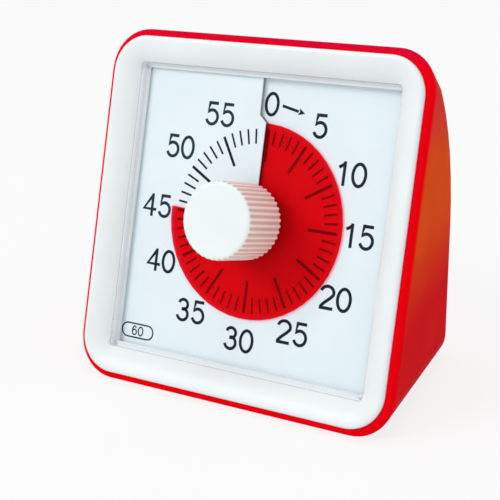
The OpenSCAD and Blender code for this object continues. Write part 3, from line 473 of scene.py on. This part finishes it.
def printed(name, outlines, material):
    """A flat printed shape, from outlines in the dial's plane; it follows the card's helix."""
    verts, faces = [], []
    for outline in outlines:
        faces.append(list(range(len(verts), len(verts) + len(outline))))
        verts += [at_dial(u, v, card_height(u, v) + PRINT_LIFT) for u, v in outline]
    mesh = bpy.data.meshes.new(name)
    mesh.from_pydata(verts, [], faces)
    mesh.validate()
    face_outward(mesh)
    mesh.materials.append(material)
    obj = bpy.data.objects.new(name, mesh)
    bpy.context.scene.collection.objects.link(obj)
    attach(obj, "case")


def face_outward(mesh):
    """Turns every face so that it looks out of the dial."""
    bm = bmesh.new()
    bm.from_mesh(mesh)
    bm.normal_update()
    bmesh.ops.reverse_faces(bm, faces=[face for face in bm.faces if face.normal.dot(OUT) < 0])
    bm.to_mesh(mesh)
    bm.free()


MITRE_FLOOR = 0.35  # least squared length of a corner's mean normal; it keeps sharp mitres short


def left_normal(a, b):
    """Unit vector to the left of the line from a to b."""
    dx, dy = b[0] - a[0], b[1] - a[1]
    length = math.hypot(dx, dy) or 1
    return -dy / length, dx / length


def ribbon(points, half, closed=False):
    """Quads along a centre line, mitred at its corners."""
    n = len(points)
    sides = []
    for i, (x, y) in enumerate(points):
        normals = []
        if closed or i > 0:
            normals.append(left_normal(points[i - 1], points[i]))
        if closed or i < n - 1:
            normals.append(left_normal(points[i], points[(i + 1) % n]))
        nx = sum(q[0] for q in normals) / len(normals)
        ny = sum(q[1] for q in normals) / len(normals)
        reach = half / max(nx * nx + ny * ny, MITRE_FLOOR)
        sides.append(((x + nx * reach, y + ny * reach), (x - nx * reach, y - ny * reach)))
    quads = []
    for i in range(n if closed else n - 1):
        a, b = sides[i], sides[(i + 1) % n]
        quads.append([a[0], b[0], b[1], a[1]])
    return quads


def arc(cx, cy, rx, ry, start, end, steps=14):
    """Points on an ellipse, from one angle to another, in degrees."""
    angles = [math.radians(start + (end - start) * i / steps) for i in range(steps + 1)]
    return [(cx + rx * math.cos(a), cy + ry * math.sin(a)) for a in angles]


# each digit as centre lines, which are closed or not, about its own middle
GLYPH_W, GLYPH_H, STROKE = 1.46, 2.28, 0.68
GLYPHS = {
    "0": [(arc(0, 0, GLYPH_W, GLYPH_H, 0, 360, 36)[:-1], True)],
    "1": [([(0.45, -GLYPH_H - 0.28), (0.45, GLYPH_H + 0.2)], False),
          ([(0.6, GLYPH_H + 0.05), (0.1, 1.75), (-0.85, 1.15)], False)],
    "2": [(arc(0, 1.0, GLYPH_W, 1.28, 170, -20, 16)
           + [(0.75, -0.1), (-0.6, -1.25), (-1.25, -2.0), (-1.25, -GLYPH_H), (1.55, -GLYPH_H)],
           False)],
    "3": [(arc(-0.05, 1.18, 1.15, 1.1, 165, -75, 16) + [(-0.35, 0.16)], False),
          ([(-0.35, 0.16)] + arc(-0.05, -0.98, 1.35, 1.3, 75, -168, 18), False)],
    "4": [([(0.62, -GLYPH_H - 0.28), (0.62, GLYPH_H + 0.2)], False),
          ([(0.62, GLYPH_H - 0.15), (-1.55, -1.0), (1.75, -1.0)], False)],
    "5": [([(1.36, GLYPH_H), (-0.8, GLYPH_H), (-1.12, 0.15)]
           + arc(0, -0.75, 1.43, 1.53, 140, -160, 20)[1:], False)],
    "6": [(arc(0, -0.85, 1.3, 1.43, 0, 360, 30)[:-1], True),
          (arc(0.0, -0.1, 1.33, 2.38, 200, 45, 18), False)],
}
PAIR_STEP = 3.92  # between the middles of two digits


def number(text, cx, cy, scale=1.0):
    """The quads of a number, about its middle."""
    quads = []
    for k, digit in enumerate(text):
        dx = (k - (len(text) - 1) / 2) * PAIR_STEP
        for points, closed in GLYPHS[digit]:
            placed = [(cx + (dx + x) * scale, cy + y * scale) for x, y in points]
            quads += ribbon(placed, STROKE / 2 * scale, closed)
    return quads


# each number with its middle, as measured in the photo
NUMBERS = [
    ("0", 0.4, 25.1), ("5", 12.55, 21.6), ("10", 20.95, 12.6), ("15", 24.45, 0.25),
    ("20", 21.25, -13.1), ("25", 12.25, -21.9), ("30", -0.4, -25.6), ("35", -13.35, -21.6),
    ("40", -22.55, -11.75), ("45", -25.25, 0.25), ("50", -20.9, 13.8), ("55", -11.65, 21.75),
]
COOL_LEFT_OF, COOL_ABOVE = -5, -8  # the numbers here look cooler in the photo

for text, u, v in NUMBERS:
    cool = u < COOL_LEFT_OF and v > COOL_ABOVE
    printed("number_" + text, number(text, u, v), INK_COOL if cool else INK)

MINUTES = 60               # in a turn
LONG_EVERY = 5             # minutes
TICK_OUTER = 19.7
LONG_TICK = (12.8, 0.32)   # its inner radius and half its width
SHORT_TICK = (16.5, 0.22)
ZERO_SHIFT = 0.36          # the mark at 0 stands just right of the slit


def tick(minute):
    """The corners of a minute's mark."""
    turn = math.radians(minute * 360 / MINUTES)
    inner, half = LONG_TICK if minute % LONG_EVERY == 0 else SHORT_TICK
    out, side = (math.sin(turn), math.cos(turn)), (math.cos(turn), -math.sin(turn))
    shift = ZERO_SHIFT if minute == 0 else 0
    corners = ((inner, -half), (TICK_OUTER, -half), (TICK_OUTER, half), (inner, half))
    return [(r * out[0] + (s + shift) * side[0], r * out[1] + (s + shift) * side[1])
            for r, s in corners]


printed("minute_marks", [tick(m) for m in range(MINUTES)], INK)

SHAFT_HALF = 0.3                                # half the shaft's width
HEAD_L, HEAD_HALF, HEAD_NOTCH = 1.6, 0.75, 0.3  # length, half the width, depth of the notch


def arrow(start, tip):
    """A straight shaft, and a head with a notch in its back."""
    dx, dy = tip[0] - start[0], tip[1] - start[1]
    length = math.hypot(dx, dy)
    ax, ay = dx / length, dy / length
    neck = (tip[0] - ax * HEAD_L, tip[1] - ay * HEAD_L)
    head = [tip,
            (neck[0] - ay * HEAD_HALF, neck[1] + ax * HEAD_HALF),
            (neck[0] + ax * HEAD_NOTCH, neck[1] + ay * HEAD_NOTCH),
            (neck[0] + ay * HEAD_HALF, neck[1] - ax * HEAD_HALF)]
    return ribbon([start, neck], SHAFT_HALF) + [head]


printed("direction_arrow", arrow((3.0, 25.0), (8.6, 23.8)), INK)

OVAL = (-26.7, -28.4)            # its middle
OVAL_HALF_L, OVAL_R = 4.2, 1.55  # half its length, radius of its ends
OVAL_LINE_HALF = 0.16            # half its line's width
OVAL_TEXT = 0.42                 # size of its number beside the dial's


def oval():
    """A line round the small number: two half circles and the straights between them."""
    x, y = OVAL
    reach = OVAL_HALF_L - OVAL_R
    ends = (arc(x + reach, y, OVAL_R, OVAL_R, -90, 90)
            + arc(x - reach, y, OVAL_R, OVAL_R, 90, 270))
    return ribbon(ends, OVAL_LINE_HALF, True)


printed("range_outline", oval(), INK)
printed("range_minutes", number("60", *OVAL, OVAL_TEXT), INK)


# ---------- stage: floor, backdrop, lamps ----------

WHITE = (1, 1, 1, 1)
FLOOR_TONES = ((0.86, 0.86, 0.86), (0.88, 0.88, 0.88))
FLOOR_OWN = 0.8      # share of the floor's look that is its own even white
FLOOR_HALF = 3       # metres
SKY_STRENGTH = 0.71  # of the light that the white surroundings throw on the object


def pale_stage(name):
    """Nearly even white to the camera and to mirrors, with the object's soft shadow still on it."""
    m, tree = new_material(name)
    tone = toned(tree, ranged(tree, object_noise(tree, 30, 2.0), 0, 1), *FLOOR_TONES)
    diffuse = node(tree, "ShaderNodeBsdfDiffuse", Color=tone)
    glow = node(tree, "ShaderNodeEmission", Color=WHITE, Strength=1.0)
    path = node(tree, "ShaderNodeLightPath").outputs
    seen = math_node(tree, "MAXIMUM", path["Is Camera Ray"], path["Is Glossy Ray"])
    seen = math_node(tree, "MAXIMUM", seen, path["Is Transmission Ray"])
    share = math_node(tree, "MULTIPLY", seen, FLOOR_OWN)
    shown(tree, mixed_shader(tree, share, diffuse.outputs["BSDF"], glow.outputs["Emission"]))
    return m


floor_corners = [(-FLOOR_HALF, -FLOOR_HALF, 0), (FLOOR_HALF, -FLOOR_HALF, 0),
                 (FLOOR_HALF, FLOOR_HALF, 0), (-FLOOR_HALF, FLOOR_HALF, 0)]
floor_mesh = bpy.data.meshes.new("floor")
floor_mesh.from_pydata(floor_corners, [], [(0, 1, 2, 3)])
floor_mesh.materials.append(pale_stage("floor_pale"))
floor = bpy.data.objects.new("floor", floor_mesh)
bpy.context.scene.collection.objects.link(floor)


def studio():
    """White wherever the camera looks, straight or through the lens; softer as a light."""
    world = bpy.data.worlds.new("studio")
    world.use_nodes = True
    tree = world.node_tree
    tree.nodes.clear()
    light = node(tree, "ShaderNodeBackground", Color=WHITE, Strength=SKY_STRENGTH)
    white = node(tree, "ShaderNodeBackground", Color=WHITE, Strength=1.0)
    path = node(tree, "ShaderNodeLightPath").outputs
    seen = math_node(tree, "MAXIMUM", path["Is Camera Ray"], path["Is Transmission Ray"])
    both = mixed_shader(tree, seen, light.outputs["Background"], white.outputs["Background"])
    node(tree, "ShaderNodeOutputWorld", Surface=both)
    return world


bpy.context.scene.world = studio()


def softbox(name, location, target, size, watts):
    light = bpy.data.lights.new(name, "AREA")
    light.shape = "RECTANGLE"
    light.size, light.size_y = size
    light.energy = watts
    obj = bpy.data.objects.new(name, light)
    obj.location = location
    towards = Vector(target) - Vector(location)
    obj.rotation_euler = towards.to_track_quat("-Z", "Y").to_euler()
    bpy.context.scene.collection.objects.link(obj)


softbox("key", location=(-0.42, -0.52, 0.62), target=(0, 0, 0.04), size=(0.35, 0.35), watts=2.25)
softbox("fill", location=(0.55, -0.35, 0.35), target=(0, 0, 0.04), size=(0.4, 0.4), watts=0.3)
softbox("top", location=(0.0, 0.12, 0.75), target=(0, 0, 0.03), size=(0.5, 0.4), watts=0.6)

# ---------- camera, as fitted to the photo ----------

CAMERA_FROM_DIAL = Vector((0.14143, -0.218829, 0.100969))  # metres
CAMERA_RIGHT = Vector((0.8499, 0.5225, -0.0688))
CAMERA_FORWARD = Vector((-0.5064, 0.7736, -0.3811))
FOCAL_PX = 1313.3
PHOTO_PX = 500
SENSOR_W = 36      # mm
CLIP_START = 0.01  # metres

forward = CAMERA_FORWARD.normalized()
right = (CAMERA_RIGHT - forward * CAMERA_RIGHT.dot(forward)).normalized()
up = right.cross(forward)
camera_at = DIAL + CAMERA_FROM_DIAL
camera_data = bpy.data.cameras.new("camera")
camera_data.sensor_width = SENSOR_W
camera_data.lens = FOCAL_PX * SENSOR_W / PHOTO_PX
camera_data.clip_start = CLIP_START
camera = bpy.data.objects.new("camera", camera_data)
camera.matrix_world = Matrix((
    (right.x, up.x, -forward.x, camera_at.x),
    (right.y, up.y, -forward.y, camera_at.y),
    (right.z, up.z, -forward.z, camera_at.z),
    (0, 0, 0, 1),
))
bpy.context.scene.collection.objects.link(camera)
bpy.context.scene.camera = camera
bpy.context.scene.view_settings.view_transform = "Standard"
